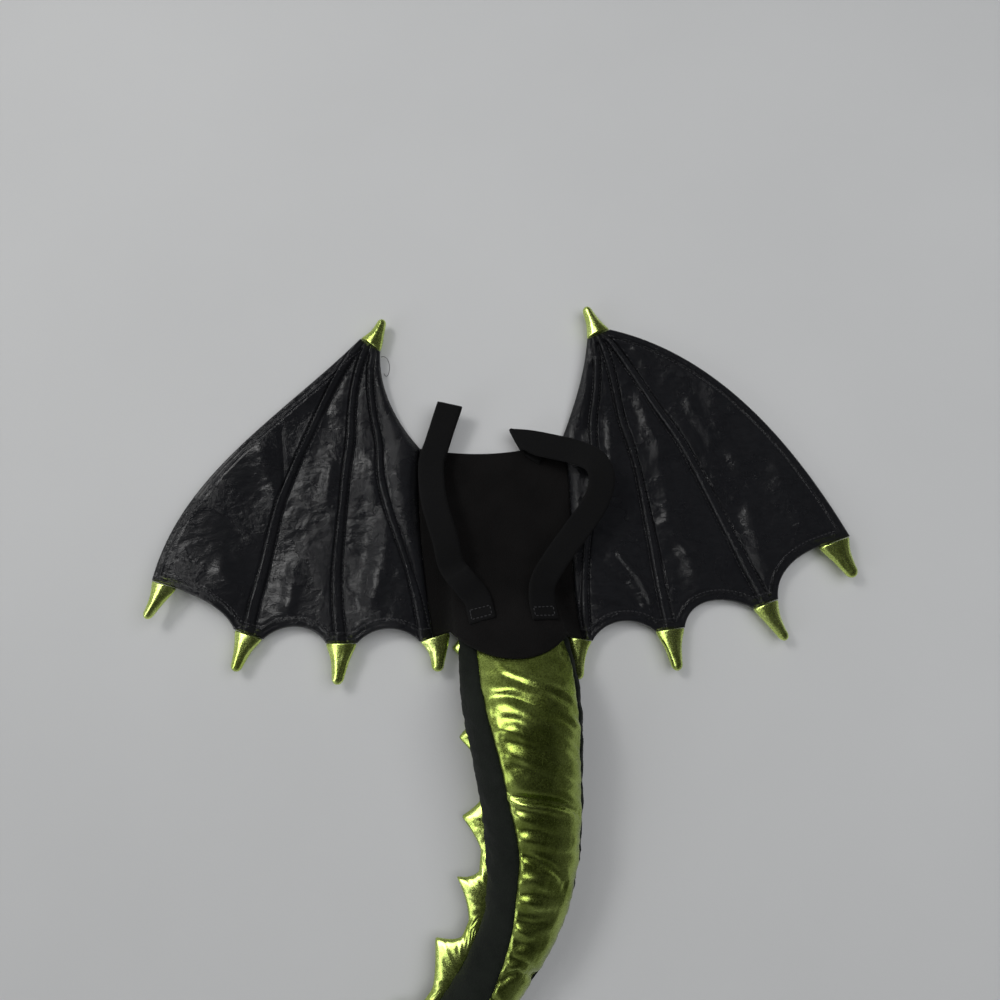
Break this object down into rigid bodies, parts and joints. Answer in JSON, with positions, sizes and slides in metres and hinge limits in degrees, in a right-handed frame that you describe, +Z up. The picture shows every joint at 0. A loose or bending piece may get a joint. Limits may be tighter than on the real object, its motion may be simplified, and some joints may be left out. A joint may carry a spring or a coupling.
{
  "type": "costume dragon wings with tail",
  "caption": "Wearable dragon costume: padded back panel with elastic shoulder straps, ribbed scalloped wings tipped with soft claws, and a long curved stuffed tail with a row of soft spikes.",
  "frame": {"origin": "middle of the footprint, on the surface that the costume lies on", "axes": "+X to the right of the picture, +Y from the tail towards the neck, +Z up from the surface to the side that lies on the wearer's back"},
  "size_m": [0.6766, 0.7434, 0.0767],
  "materials": {
    "knit": "matte black brushed knit",
    "faux_leather": "crinkled black faux leather with a soft sheen",
    "webbing": "matte black elastic webbing",
    "plush": "matte black knit over soft filling",
    "lame": "yellow-green metallic foil fabric over soft filling"
  },
  "bodies": {
    "root": {"back_panel": "knit", "wing_left": "faux_leather", "wing_right": "faux_leather", "claw_left_inner": "lame", "claw_left_third": "lame", "claw_left_second": "lame", "claw_left_outer": "lame", "claw_left_top": "lame", "claw_right_inner": "lame", "claw_right_third": "lame", "claw_right_second": "lame", "claw_right_outer": "lame", "claw_right_top": "lame", "strap_left": "webbing", "strap_right": "webbing", "tail_belly": "lame", "tail_side_left": "plush", "tail_side_right": "plush", "tail_ridge": "lame"}
  },
  "joints": []
}
